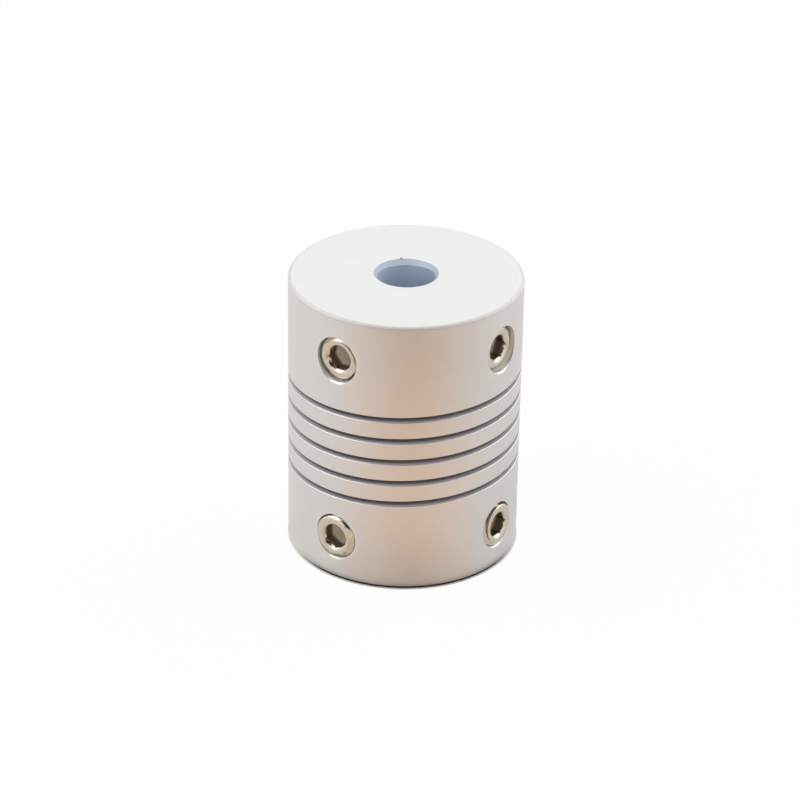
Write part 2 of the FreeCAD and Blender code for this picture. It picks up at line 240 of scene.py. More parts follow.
class Wiring:
    """Adds nodes to a tree and wires them up. A value is a number, a colour or another node's output."""

    def __init__(self, tree):
        self.tree = tree

    def node(self, kind, inputs=(), **settings):
        """A new node with these settings, and these values in its inputs."""
        item = self.tree.nodes.new(kind)
        for name, value in settings.items():
            setattr(item, name, value)
        for key, value in dict(inputs).items():
            self.feed(item.inputs[key], value)
        return item

    def feed(self, socket, value):
        """Give an input its value, or link what it is to read."""
        if isinstance(value, list):
            for source in value:
                self.tree.links.new(source, socket)
        elif isinstance(value, bpy.types.NodeSocket):
            self.tree.links.new(value, socket)
        else:
            socket.default_value = value

    def math(self, operation, *values, clamp=False):
        """A sum on plain numbers."""
        item = self.node("ShaderNodeMath", dict(enumerate(values)), operation=operation, use_clamp=clamp)
        return item.outputs[0]

    def chain(self, operation, first, *others):
        """A sum worked out from left to right."""
        for other in others:
            first = self.math(operation, first, other)
        return first

    def plus(self, *values):
        """Numbers added up."""
        return self.chain("ADD", *values)

    def minus(self, *values):
        """The first number less the others."""
        return self.chain("SUBTRACT", *values)

    def times(self, *values):
        """Numbers multiplied with one another."""
        return self.chain("MULTIPLY", *values)

    def over(self, first, second):
        """The first number divided by the second."""
        return self.math("DIVIDE", first, second)

    def half(self, value):
        """Half a number."""
        return self.math("DIVIDE", value, 2.0)

    def size(self, value):
        """A number without its sign."""
        return self.math("ABSOLUTE", value)

    def above(self, value, limit):
        """1 where a number is above the limit, else 0."""
        return self.math("GREATER_THAN", value, limit)

    def below(self, value, limit):
        """1 where a number is below the limit, else 0."""
        return self.math("LESS_THAN", value, limit)

    def combine(self, x, y, z):
        """A vector from three numbers."""
        return self.node("ShaderNodeCombineXYZ", {0: x, 1: y, 2: z}).outputs[0]

    def separate(self, vector):
        """The three numbers of a vector."""
        return self.node("ShaderNodeSeparateXYZ", {0: vector}).outputs

    def ramp(self, value, start, end):
        """0 where the value is at start or before it, 1 at end or past it, smooth between."""
        inputs = {"Value": value, "From Min": start, "From Max": end}
        return self.node("ShaderNodeMapRange", inputs, interpolation_type="SMOOTHSTEP").outputs[0]

    def mix_number(self, share, first, second):
        """Between two numbers by a share from 0 to 1."""
        return self.node("ShaderNodeMix", {0: share, 2: first, 3: second}, data_type="FLOAT").outputs[0]

    def mix_colour(self, share, first, second, blend="MIX"):
        """Between two colours by a share from 0 to 1."""
        inputs = {0: share, 6: first, 7: second}
        return self.node("ShaderNodeMix", inputs, data_type="RGBA", blend_type=blend).outputs[2]


class GeometryTree(Wiring):
    """A Geometry Nodes tree. The names of its inputs are given by kind, as texts."""

    # The kinds of input that aren't a Float, and what a Float measures.
    KINDS = {"count": "Int", "place": "Vector", "turn": "Rotation", "material": "Material"}
    SUBTYPES = {"length": "DISTANCE", "angle": "ANGLE"}

    def __init__(self, name, **names):
        super().__init__(bpy.data.node_groups.new(name, "GeometryNodeTree"))
        self.add_socket("Geometry", "OUTPUT", "Geometry")
        for kind, text in names.items():
            for key in text.split():
                socket = self.add_socket(key, "INPUT", self.KINDS.get(kind, "Float"))
                if kind in self.SUBTYPES:
                    socket.subtype = self.SUBTYPES[kind]
        keys = " ".join(names.values()).split()
        self.given = SimpleNamespace(**dict(zip(keys, self.node("NodeGroupInput").outputs)))

    def add_socket(self, key, way, kind):
        """A new input or output of the tree."""
        return self.tree.interface.new_socket(key, in_out=way, socket_type="NodeSocket" + kind)

    def use(self, tree, **inputs):
        """The geometry of another tree, with these inputs."""
        return self.node("GeometryNodeGroup", inputs, node_tree=tree).outputs[0]

    def own_point(self):
        """The three numbers of each point's place."""
        return self.separate(self.node("GeometryNodeInputPosition").outputs[0])

    def cylinder(self, sides, radius, depth, segments=1):
        """A plain round rod along Z, with its middle at the origin."""
        inputs = {"Vertices": sides, "Side Segments": segments, "Radius": radius, "Depth": depth}
        return self.node("GeometryNodeMeshCylinder", inputs).outputs[0]

    def cone(self, foot_radius, top_radius, depth, foot_height, sides=CORE_SIDES):
        """A round cutter that widens or narrows from its foot to its top."""
        inputs = {"Vertices": sides, "Radius Top": top_radius, "Radius Bottom": foot_radius, "Depth": depth}
        return self.stand(self.node("GeometryNodeMeshCone", inputs).outputs[0], foot_height)

    def move(self, geometry, place=(0, 0, 0), turn=(0, 0, 0)):
        """The geometry turned about the origin and then moved."""
        inputs = {"Geometry": geometry, "Translation": place, "Rotation": turn}
        return self.node("GeometryNodeTransform", inputs).outputs[0]

    def stand(self, geometry, height=0.0, turn=0.0):
        """The geometry turned about Z and then moved along it."""
        return self.move(geometry, self.combine(0.0, 0.0, height), self.combine(0.0, 0.0, turn))

    def reshape(self, geometry, place):
        """The geometry with each point put at a place of its own."""
        return self.node("GeometryNodeSetPosition", {"Geometry": geometry, "Position": place}).outputs[0]

    def solid(self, operation, first, others):
        """A join, a cut or an overlap of closed solids."""
        if operation == "DIFFERENCE":
            inputs = {"Mesh 1": first, "Mesh 2": others}
        else:
            inputs = {"Mesh 2": [first, *others]}
        return self.node("GeometryNodeMeshBoolean", inputs, operation=operation, solver="MANIFOLD").outputs[0]

    def finish(self, geometry, material=None):
        """Send the geometry out, with crisp corners and its material where it is a piece."""
        if material is not None:
            crisp = self.above(self.node("GeometryNodeInputMeshEdgeAngle").outputs[0], CRISP_ANGLE)
            smooth = {"Geometry": geometry, "Selection": crisp, "Shade Smooth": False}
            geometry = self.node("GeometryNodeSetShadeSmooth", smooth, domain="EDGE").outputs[0]
            geometry = self.node("GeometryNodeRealizeInstances", {"Geometry": geometry}).outputs[0]
            inputs = {"Geometry": geometry, "Material": material}
            geometry = self.node("GeometryNodeSetMaterial", inputs).outputs[0]
        self.node("NodeGroupOutput", {0: geometry})
        return self.tree


def set_rings(tree, rod, radius, reach, level):
    """A rod whose rings have this reach in place of the radius, at this level from the middle."""
    x, y, z = tree.own_point()
    share = tree.over(reach, radius)
    height = tree.times(level, tree.math("SIGN", z))
    return tree.finish(tree.reshape(rod, tree.combine(tree.times(x, share), tree.times(y, share), height)))


def rounded_rod_tree():
    """A round rod along Z with rounded rims. A rim below zero flares outwards like a trumpet."""
    tree = GeometryTree("rounded_rod", length="radius length top foot", count="sides")
    given = tree.given
    steps = 7
    rod = tree.cylinder(given.sides, given.radius, 2.0, 2 * steps + 1)
    z = tree.own_point()[2]
    # A ring's number from the side's own edge of the corner, 0, to the end face, steps.
    ring = tree.minus(tree.times(tree.size(z), steps + 0.5), 0.5)
    bend = tree.times(ring, math.pi / 2 / steps)
    rim = tree.mix_number(tree.above(z, 0.0), given.foot, given.top)
    sink = tree.times(tree.size(rim), tree.minus(1.0, tree.math("SINE", bend)))
    reach = tree.minus(given.radius, tree.times(rim, tree.minus(1.0, tree.math("COSINE", bend))))
    return set_rings(tree, rod, given.radius, reach, tree.minus(tree.half(given.length), sink))


def turned_rod_tree():
    """A round rod along Z, bevelled at its top and foot. A bevel below zero flares outwards."""
    tree = GeometryTree("turned_rod", length="radius length top foot", count="sides")
    given = tree.given
    rod = tree.cylinder(given.sides, given.radius, given.length, 3)
    z = tree.own_point()[2]
    half = tree.half(given.length)
    at_end = tree.above(tree.size(z), tree.times(half, 0.6))
    bevel = tree.mix_number(tree.above(z, 0.0), given.foot, given.top)
    # An end with no bevel has its inner ring a little way from its rim.
    plain = tree.below(tree.size(bevel), 1e-7)
    drop = tree.plus(tree.size(bevel), tree.times(plain, 0.2 * MM))
    level = tree.mix_number(at_end, tree.minus(half, drop), half)
    reach = tree.minus(given.radius, tree.times(at_end, bevel))
    return set_rings(tree, rod, given.radius, reach, level)


def wind(tree, bar, radius, across, along, pitch, turns):
    """Wind a bar round Z: its points keep their radius and rise with the helix."""
    wound = tree.times(along, turns)
    angle = tree.times(wound, math.tau)
    place = tree.combine(
        tree.times(radius, tree.math("COSINE", angle)),
        tree.times(radius, tree.math("SINE", angle)),
        tree.minus(tree.times(wound, pitch), across),
    )
    return tree.finish(tree.reshape(bar, place))


def straight_bar(tree, across_points, length_points):
    """A bar of unit size along Z, divided for winding, with its points' three numbers."""
    inputs = {"Size": (1, 1, 1), "Vertices X": across_points, "Vertices Y": 2, "Vertices Z": length_points}
    return tree.node("GeometryNodeMeshCube", inputs).outputs[0], tree.own_point()


def thread_ridge_tree():
    """One start of a V thread, wound round Z with its middle at the origin."""
    tree = GeometryTree("thread_ridge", length="root_radius crest_radius crest_width pitch",
                        number="turns", count="steps")
    given = tree.given
    bar, (out, across, along) = straight_bar(tree, 2, tree.times(given.turns, given.steps))
    radius = tree.mix_number(tree.plus(out, 0.5), given.root_radius, given.crest_radius)
    flank = tree.times(tree.minus(given.crest_radius, radius), 2 * math.tan(THREAD_FLANK))
    spread = tree.times(across, tree.plus(given.crest_width, flank))
    return wind(tree, bar, radius, spread, along, given.pitch, given.turns)


def saw_path_tree():
    """What the round saw sweeps: a wound bar whose inner edge runs out along the saw's circle."""
    tree = GeometryTree("saw_path", number="saw_turns", count="steps",
                        length="pitch width saw_radius bore_radius overrun body_radius edge_break")
    given = tree.given
    saw, body = given.saw_radius, given.body_radius
    centre = tree.plus(tree.minus(given.bore_radius, given.overrun), saw)
    # The turn past the saw's stop at which its circle leaves the body's surface.
    body2, centre2, saw2 = (tree.math("POWER", value, 2.0) for value in (body, centre, saw))
    cosine = tree.over(tree.minus(tree.plus(body2, centre2), saw2), tree.times(body, centre, 2.0))
    run_out = tree.math("ARCCOSINE", cosine)
    turns = tree.plus(given.saw_turns, tree.over(run_out, math.pi))
    bar, (out, across, along) = straight_bar(tree, 3, tree.times(turns, given.steps))
    past_stop = tree.minus(tree.times(tree.size(along), turns), tree.half(given.saw_turns))
    past_stop = tree.times(tree.math("MAXIMUM", 0.0, past_stop), math.tau)
    side2 = tree.math("POWER", tree.times(centre, tree.math("SINE", past_stop)), 2.0)
    chord = tree.math("SQRT", tree.math("MAXIMUM", 0.0, tree.minus(saw2, side2)))
    inner = tree.minus(tree.times(centre, tree.math("COSINE", past_stop)), chord)
    # The middle row of points lies on the lip, from which the bar flares outwards.
    lip = tree.minus(body, given.edge_break)
    edge = tree.mix_number(tree.above(out, 0.0), inner, tree.plus(body, OVER))
    radius = tree.mix_number(tree.minus(1.0, tree.times(tree.size(out), 2.0)), edge, lip)
    flare = tree.times(tree.math("MAXIMUM", 0.0, tree.minus(radius, lip)), 2.0)
    spread = tree.times(across, tree.plus(given.width, flare))
    return wind(tree, bar, radius, spread, along, given.pitch, turns)


def mouth_cutters(tree, bore_radius, end):
    """The blunt cutter that opened the upper mouth off centre, and the nick on its far edge."""
    given = tree.given
    opened = tree.plus(bore_radius, given.mouth_rim)
    sunk = tree.over(opened, BLUNT_SLOPE)
    cutter = tree.cone(0.0, tree.plus(opened, OVER * BLUNT_SLOPE), tree.plus(sunk, OVER),
                       tree.minus(end, sunk), BORE_SIDES)
    mouth = tree.move(cutter, tree.combine(
        tree.times(given.mouth_offset, -math.sin(MOUTH_TURN)),
        tree.times(given.mouth_offset, math.cos(MOUTH_TURN)), 0.0))
    ball = tree.node("GeometryNodeMeshUVSphere", {"Segments": 20, "Rings": 12, "Radius": given.nick})
    nick = tree.move(ball.outputs[0], tree.combine(
        tree.times(given.nick_aside, -1.0), tree.plus(opened, given.mouth_offset), tree.plus(end, 2 * APART)))
    return mouth, tree.move(nick, turn=(0, 0, MOUTH_TURN))


def coupling_body_tree(rounded_rod, rod, ridge, saw_path):
    """The turned blank less its bore, its slit and its four tapped holes."""
    tree = GeometryTree(
        "coupling_body",
        length="diameter length rim_round bore_diameter bore_chamfer slit_pitch slit_width slit_break "
               "saw_diameter saw_overrun hole_inset countersink_rim hole_mouth mouth_rim mouth_offset "
               "nick nick_aside thread_diameter thread_pitch thread_depth",
        number="saw_turns", angle="slit_angle", count="sides", material="material")
    given = tree.given
    radius, bore_radius = tree.half(given.diameter), tree.half(given.bore_diameter)
    end = tree.half(given.length)
    blank = tree.use(rounded_rod, radius=radius, length=given.length, top=given.rim_round,
                     foot=given.rim_round, sides=given.sides)
    bore = tree.use(rod, radius=bore_radius, length=tree.plus(given.length, 2 * OVER), top=0.0,
                    foot=tree.times(tree.plus(given.bore_chamfer, OVER), -1.0), sides=BORE_SIDES)
    slit = tree.use(saw_path, pitch=given.slit_pitch, width=given.slit_width, saw_turns=given.saw_turns,
                    saw_radius=tree.half(given.saw_diameter), bore_radius=bore_radius,
                    overrun=given.saw_overrun, body_radius=radius, edge_break=given.slit_break,
                    steps=SAW_STEPS)
    slit = tree.stand(slit, turn=given.slit_angle)

    thread_radius = tree.half(given.thread_diameter)
    drill_radius = tree.minus(thread_radius, tree.times(given.thread_depth, 0.9))
    deep = tree.plus(radius, OVER)
    middle = tree.half(deep)
    drill = tree.use(rod, radius=drill_radius, length=deep, top=0.0, foot=0.0, sides=HOLE_SIDES)
    opening = tree.use(rounded_rod, radius=tree.plus(thread_radius, 0.004 * MM), length=given.hole_mouth,
                       foot=BURIED_ROUND, top=tree.times(given.countersink_rim, -1.0), sides=HOLE_SIDES)
    opening = tree.stand(opening, tree.minus(middle, OVER - APART, tree.half(given.hole_mouth)))
    turns = tree.over(deep, given.thread_pitch)
    tap = tree.use(ridge, root_radius=tree.minus(drill_radius, 0.1 * MM), crest_radius=thread_radius,
                   crest_width=tree.over(given.thread_pitch, CREST_PART), pitch=given.thread_pitch,
                   turns=turns, steps=TAP_STEPS)
    # So turned, the thread starts at angle 0 on the body's axis, which thread_turn counts from.
    tap = tree.stand(tap, turn=tree.times(turns, math.pi))
    height = tree.minus(end, given.hole_inset)
    cutters = [bore, *mouth_cutters(tree, bore_radius, end), slit]
    for turn in LAY_DOWN.values():
        for row in ROWS.values():
            place = tree.combine(0.0, 0.0, tree.times(height, float(row)))
            for cutter in (drill, opening, tap):
                cutters.append(tree.move(tree.stand(cutter, middle), place, turn))
    return tree.finish(tree.solid("DIFFERENCE", blank, cutters), given.material)


def set_screw_tree(rounded_rod, rod, ridge):
    """A threaded headless screw with a hex socket and a cup point, set in its place."""
    tree = GeometryTree(
        "set_screw",
        length="thread_diameter thread_pitch thread_depth thread_play length chamfer cup_diameter "
               "socket_flats socket_depth socket_rim",
        angle="socket_turn thread_turn", turn="lay_down", place="place", material="material")
    given = tree.given
    length = given.length
    middle = tree.over(length, -2.0)
    crest = tree.minus(tree.half(given.thread_diameter), given.thread_play)
    root = tree.minus(crest, given.thread_depth)
    core = tree.use(rod, radius=root, length=tree.plus(length, 2 * OVER), top=0.0, foot=0.0, sides=CORE_SIDES)
    thread = tree.use(ridge, root_radius=tree.minus(root, 0.07 * MM), crest_radius=crest,
                      crest_width=tree.over(given.thread_pitch, CREST_PART), pitch=given.thread_pitch,
                      turns=tree.plus(tree.over(length, given.thread_pitch), 1.0), steps=THREAD_STEPS)
    threaded = tree.solid("UNION", tree.stand(core, middle), [tree.stand(thread, middle, given.thread_turn)])
    cup = tree.half(given.cup_diameter)
    clear = tree.plus(crest, 2 * APART)
    point = tree.use(rod, radius=clear, length=length, top=0.0, foot=tree.minus(clear, cup), sides=HOLE_SIDES)
    face = tree.use(rounded_rod, radius=clear, length=length, top=given.chamfer, foot=BURIED_ROUND,
                    sides=HOLE_SIDES)
    shank = tree.solid("INTERSECT", threaded, [tree.stand(point, middle), tree.stand(face, middle)])

    above = 0.3 * MM
    inner = tree.half(given.socket_flats)
    deep = tree.plus(given.socket_depth, above)
    hexagon = tree.cylinder(6, tree.over(inner, math.cos(math.radians(30))), deep)
    hexagon = tree.stand(hexagon, tree.minus(above, tree.half(deep)),
                         tree.plus(given.socket_turn, math.radians(30)))
    drilled = tree.over(inner, BLUNT_SLOPE)
    drill_point = tree.cone(0.0, tree.plus(inner, APART * BLUNT_SLOPE), tree.plus(drilled, APART),
                            tree.times(tree.plus(given.socket_depth, drilled), -1.0))
    mouth_depth = 1.2 * MM
    mouth = tree.use(rounded_rod, radius=tree.minus(inner, APART), length=mouth_depth, foot=BURIED_ROUND,
                     top=tree.times(tree.plus(given.socket_rim, APART), -1.0), sides=HOLE_SIDES)
    mouth = tree.stand(mouth, APART - mouth_depth / 2)
    past = 0.1 * MM
    cup_rim = tree.minus(cup, 0.03 * MM)
    cup_cut = tree.cone(tree.plus(cup_rim, past * BLUNT_SLOPE), 0.0,
                        tree.plus(tree.over(cup_rim, BLUNT_SLOPE), past),
                        tree.minus(tree.times(length, -1.0), past))
    screw = tree.solid("DIFFERENCE", shank, [hexagon, drill_point, mouth, cup_cut])
    store = {"Geometry": screw, "Name": "own_place",
             "Value": tree.node("GeometryNodeInputPosition").outputs[0]}
    screw = tree.node("GeometryNodeStoreNamedAttribute", store, data_type="FLOAT_VECTOR").outputs[0]
    return tree.finish(tree.move(screw, given.place, given.lay_down), given.material)


def add_object(name, data):
    """A new object in the scene."""
    item = bpy.data.objects.new(name, data)
    bpy.context.scene.collection.objects.link(item)
    return item


def grow(name, tree, values):
    """Run a tree once with these inputs and keep the result as a plain mesh piece."""
    piece = add_object(name, bpy.data.meshes.new(name))
    modifier = piece.modifiers.new("grow", "NODES")
    modifier.node_group = tree
    for item in tree.interface.items_tree:
        if item.in_out == "INPUT":
            modifier[item.identifier] = values[item.name]
    depsgraph = bpy.context.evaluated_depsgraph_get()
    mesh = bpy.data.meshes.new_from_object(piece.evaluated_get(depsgraph))
    piece.modifiers.clear()
    piece.data = mesh
    mesh.name = name
    if len(mesh.polygons) == 0:
        raise RuntimeError(f"{name} came out empty")
    return piece


class MaterialTree(Wiring):
    """A new material's node tree."""

    def __init__(self, name):
        self.material = bpy.data.materials.new(name)
        self.material.use_nodes = True
        super().__init__(self.material.node_tree)
        self.tree.nodes.clear()

    def own_place(self):
        """Each point's place in the object's own coordinates."""
        return self.node("ShaderNodeTexCoord").outputs["Object"]

    def distance(self, first, second):
        """How far a point with these two coordinates lies from their origin."""
        flat = self.combine(first, second, 0.0)
        return self.node("ShaderNodeVectorMath", {0: flat}, operation="LENGTH").outputs["Value"]

    def noise(self, vector, scale, detail=2.0, roughness=0.5):
        """Soft random patches."""
        inputs = {"Vector": vector, "Scale": scale, "Detail": detail, "Roughness": roughness}
        return self.node("ShaderNodeTexNoise", inputs).outputs["Fac"]

    def turning_marks(self, at, across, fineness):
        """Fine lines left by a turning tool: they follow the circle and vary slowly round it."""
        round_x, round_y = (self.times(self.over(part, at.radius), 1.6) for part in (at.x, at.y))
        return self.noise(self.combine(self.times(across, fineness), round_x, round_y), 1.0, 4.0, 0.65)

    def darkened(self, colour, shade):
        """A colour times a number."""
        return self.mix_colour(1.0, colour, self.combine(shade, shade, shade), "MULTIPLY")

    def bump(self, height, strength, reach):
        """Small relief that only the light sees."""
        inputs = {"Strength": strength, "Distance": reach, "Height": height}
        return self.node("ShaderNodeBump", inputs).outputs[0]

    def diffuse(self, colour, **inputs):
        """A dull surface."""
        return self.node("ShaderNodeBsdfDiffuse", {"Color": colour, **inputs}).outputs[0]

    def part_glow(self, share, dull, colour, strength):
        """A dull surface that glows by a share."""
        glow = self.node("ShaderNodeEmission", {"Color": colour, "Strength": strength}).outputs[0]
        return self.node("ShaderNodeMixShader", {0: share, 1: dull, 2: glow}).outputs[0]

    def metal(self, colour, metallic, roughness, bump):
        """A metal surface."""
        return self.node("ShaderNodeBsdfPrincipled", {
            "Base Color": colour, "Metallic": metallic, "Roughness": roughness, "Normal": bump,
        }).outputs[0]

    def finish(self, surface):
        """Send the surface out."""
        self.node("ShaderNodeOutputMaterial", {"Surface": surface})
        return self.material


def bore_walls(tree, at, sizes, colours, end):
    """Where the bore's wall and the bevels of its mouths are, and their colours."""
    bore = sizes.bore_diameter / 2
    near = tree.below(at.radius, bore + 0.8 * MM)
    high = tree.above(at.height, sizes.length / 2 - sizes.bore_chamfer - APART)
    bevel = tree.times(near, high, tree.minus(1.0, end), tree.above(at.radius, bore + APART))
    share = tree.math("MAXIMUM", bevel, tree.below(at.radius, bore + 2 * APART))
    aside = tree.plus(tree.times(at.x, math.cos(MOUTH_TURN)), tree.times(at.y, math.sin(MOUTH_TURN)))
    # Painted shade: the bore's wall turns a quarter darker towards this side.
    dull = tree.ramp(aside, 0.1 * MM, 2.2 * MM)
    wall = tree.mix_colour(dull, rgba(colours.bore), rgba(colours.bore, 0.75))
    return share, tree.mix_colour(bevel, wall, rgba(colours.mouth))


def slit_walls(tree, at, sizes):
    """Where the slit's sawn walls are, under the skin that the turning tool left."""
    turn = tree.over(tree.math("ARCTAN2", at.y, at.x), math.tau)
    phase = tree.plus(tree.minus(tree.over(at.z, sizes.slit_pitch), turn), sizes.slit_angle / math.tau)
    off = tree.minus(phase, tree.math("ROUND", phase))
    in_slit = tree.below(tree.times(tree.size(off), sizes.slit_pitch), sizes.slit_width / 2 + 2 * APART)
    outside = sizes.diameter / 2
    under_skin = tree.ramp(at.radius, outside - 0.04 * MM, outside - 0.09 * MM)
    past_bore = tree.above(at.radius, sizes.bore_diameter / 2 + 2 * APART)
    among = tree.below(at.height, (sizes.saw_turns / 2 + 0.25) * sizes.slit_pitch)
    return tree.times(in_slit, under_skin, past_bore, among)


def hole_walls(tree, at, sizes, screws):
    """Where the four screw holes are, with their countersinks."""
    rise = tree.minus(at.height, sizes.length / 2 - sizes.hole_inset)
    reach = screws.thread_diameter / 2 + sizes.countersink_rim + 0.03 * MM
    inside = sizes.bore_diameter / 2 + 0.1 * MM
    front = tree.times(tree.below(tree.distance(at.x, rise), reach), tree.below(at.y, -inside))
    right = tree.times(tree.below(tree.distance(at.y, rise), reach), tree.above(at.x, inside))
    return tree.math("MAXIMUM", front, right)


def satin_aluminium(sizes, screws, colours):
    """The body's metal: turned outside, faced ends, drilled bore and holes, sawn slit walls."""
    tree = MaterialTree("satin_aluminium")
    place = tree.own_place()
    x, y, z = tree.separate(place)
    at = SimpleNamespace(x=x, y=y, z=z, radius=tree.distance(x, y), height=tree.size(z))
    outside, top = sizes.diameter / 2, sizes.length / 2
    end = tree.above(at.height, top - APART)
    across = tree.mix_number(end, z, at.radius)
    fine = tree.turning_marks(at, across, MARKS["fine"])
    broad = tree.turning_marks(at, across, MARKS["broad"])
    grain = tree.noise(place, MARKS["grain"], 3.0, 0.6)
    clouds = tree.noise(place, MARKS["clouds"])

    in_bore, bore_colour = bore_walls(tree, at, sizes, colours, end)
    in_slit = slit_walls(tree, at, sizes)
    in_hole = hole_walls(tree, at, sizes, screws)
    at_rim = tree.times(tree.ramp(at.height, top - 1.2 * sizes.rim_round, top - 0.8 * sizes.rim_round),
                        tree.above(at.radius, outside - sizes.rim_round))
    upper = tree.above(z, 0.0)

    colour = tree.mix_colour(end, rgba(colours.aluminium), rgba(colours.faced))
    shade = tree.plus(tree.times(broad, 0.05), tree.times(clouds, 0.05), 0.95)
    colour = tree.darkened(colour, shade)
    colour = tree.mix_colour(in_bore, colour, bore_colour)
    # Painted shade: the slit's walls darken from 0.1 mm to 0.65 mm in from the skin.
    deep = tree.ramp(at.radius, outside - 0.10 * MM, outside - 0.65 * MM)
    sawn = tree.mix_colour(deep, rgba(colours.sawn), rgba(colours.slit_painted_shade))
    colour = tree.mix_colour(in_slit, colour, sawn)
    # Painted shade: the upper rim is painted 7 % darker.
    colour = tree.mix_colour(tree.times(at_rim, upper), colour, rgba((0.93, 0.93, 0.93)), "MULTIPLY")

    roughness = tree.math("MULTIPLY_ADD", fine, 0.10, ROUGHNESS["turned"])
    roughness = tree.math("MULTIPLY_ADD", grain, 0.06, roughness)
    metallic = 1.0
    for share, finish in ((in_bore, "bore"), (in_hole, "hole"), (in_slit, "slit")):
        roughness = tree.mix_number(share, roughness, ROUGHNESS[finish])
        metallic = tree.mix_number(share, metallic, METAL[finish])
    rim_roughness = tree.mix_number(upper, ROUGHNESS["upper_rim"], ROUGHNESS["lower_rim"])
    roughness = tree.mix_number(at_rim, roughness, rim_roughness)
    relief = tree.plus(fine, tree.times(grain, 0.5), tree.times(broad, 1.5))
    return tree.finish(tree.metal(colour, metallic, roughness, tree.bump(relief, 0.6, 3e-6)))


def bright_steel(screws, colours):
    """The screws' metal: a faced top, painted shade in the thread grooves and on the broached
    socket's walls, and a socket floor painted light.
    """
    tree = MaterialTree("bright_steel")
    place = tree.node("ShaderNodeAttribute", attribute_name="own_place").outputs["Vector"]
    x, y, z = tree.separate(place)
    at = SimpleNamespace(x=x, y=y, radius=tree.distance(x, y))
    fine = tree.turning_marks(at, at.radius, MARKS["screw"])
    grain = tree.noise(place, MARKS["screw_grain"], 3.0, 0.6)
    crest = screws.thread_diameter / 2 - screws.thread_play
    corner = screws.socket_flats / 2 / math.cos(math.radians(30))
    # Painted shade: the thread's grooves below the face and the socket's walls take the dark recess colour.
    painted_recess_shade = tree.ramp(at.radius, crest - 0.12 * MM, crest - screws.thread_depth)
    below_face = tree.ramp(z, -screws.chamfer, -screws.chamfer - 0.15 * MM)
    painted_recess_shade = tree.times(painted_recess_shade, below_face, 0.6)
    socket = tree.times(tree.below(at.radius, corner + APART), tree.ramp(z, -0.12 * MM, -0.45 * MM))
    dark = tree.math("MAXIMUM", painted_recess_shade, socket)
    # Painted light: the socket's lower part is painted pale and less metallic, as if lit.
    painted_lit_floor = tree.times(socket, tree.ramp(z, -0.9 * MM, -1.35 * MM))
    dull = tree.mix_colour(painted_lit_floor, rgba(colours.painted_recess_shade), rgba(colours.socket_floor_painted_light))
    colour = tree.mix_colour(dark, rgba(colours.steel), dull)
    colour = tree.darkened(colour, tree.math("MULTIPLY_ADD", grain, 0.10, 0.93))
    roughness = tree.math("MULTIPLY_ADD", fine, 0.08, ROUGHNESS["screw"])
    roughness = tree.mix_number(dark, roughness, ROUGHNESS["socket"])
    metallic = tree.mix_number(painted_lit_floor, 1.0, METAL["socket_floor_painted_light"])
    relief = tree.plus(fine, tree.times(grain, 0.6))
    return tree.finish(tree.metal(colour, metallic, roughness, tree.bump(relief, 0.5, 1.5e-6)))


class COUPLING_OT_body(bpy.types.Operator):
    """Turn, bore, drill, tap and saw the coupling's body."""

    bl_idname = "coupling.make_body"
    bl_label = "Make the body"

    def execute(self, context):
        sizes, screws = context.scene.coupling_body, context.scene.coupling_screws
        cutters = rounded_rod_tree(), turned_rod_tree(), thread_ridge_tree(), saw_path_tree()
        metal = satin_aluminium(sizes, screws, context.scene.coupling_finish)
        values = {**values_of(screws), **values_of(sizes), "material": metal}
        body = grow("slit_body", coupling_body_tree(*cutters), values)
        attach(body, "body")
        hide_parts(BODY_NODE)
        return {"FINISHED"}


class COUPLING_OT_set_screws(bpy.types.Operator):
    """Make the four set screws and put each in its hole."""

    bl_idname = "coupling.make_set_screws"
    bl_label = "Make the set screws"

    def execute(self, context):
        sizes, screws = context.scene.coupling_body, context.scene.coupling_screws
        tree = set_screw_tree(rounded_rod_tree(), turned_rod_tree(), thread_ridge_tree())
        steel = bright_steel(screws, context.scene.coupling_finish)
        for (row, side), degrees in SOCKET_TURN.items():
            node = f"set_screw_{row}_{side}"
            low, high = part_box(node)
            face = -low.y if side == "front" else high.x
            place = OUTWARD[side] * face
            place.z = ROWS[row] * (sizes.length / 2 - sizes.hole_inset)
            piece = grow(f"threaded_screw_{row}_{side}", tree, {
                **values_of(screws),
                "socket_turn": math.radians(degrees),
                "thread_turn": (face - screws.length / 2) / screws.thread_pitch * math.tau,
                "lay_down": LAY_DOWN[side],
                "place": place,
                "material": steel,
            })
            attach(piece, f"{row}_{side}_screw")
            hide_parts(node)
        return {"FINISHED"}


def soft_panel(name, middle, size, radiance):
    """A soft lamp panel that faces the coupling, as bright as a surface of this radiance."""
    lamp = bpy.data.lights.new(name, "AREA")
    lamp.shape = "RECTANGLE"
    lamp.size, lamp.size_y = size
    lamp.energy = radiance * math.pi * size[0] * size[1]
    panel = add_object(name, lamp)
    panel.location = middle
    panel.rotation_euler = (-middle).to_track_quat("-Z", "Y").to_euler()
    panel.visible_camera = False


def view_share(tree):
    """1 for what the camera, a mirror or a glass sees, and 0 for what lights the object."""
    path = tree.node("ShaderNodeLightPath").outputs
    seen = tree.plus(path["Is Camera Ray"], path["Is Glossy Ray"])
    return tree.math("ADD", seen, path["Is Transmission Ray"], clamp=True)


def flat_sheet(name, corners, material):
    """A thin flat sheet between these corners, for the stage."""
    mesh = bpy.data.meshes.new(name)
    mesh.from_pydata(corners, [], [tuple(range(len(corners)))])
    mesh.materials.append(material)
    sheet = add_object(name, mesh)
    return sheet


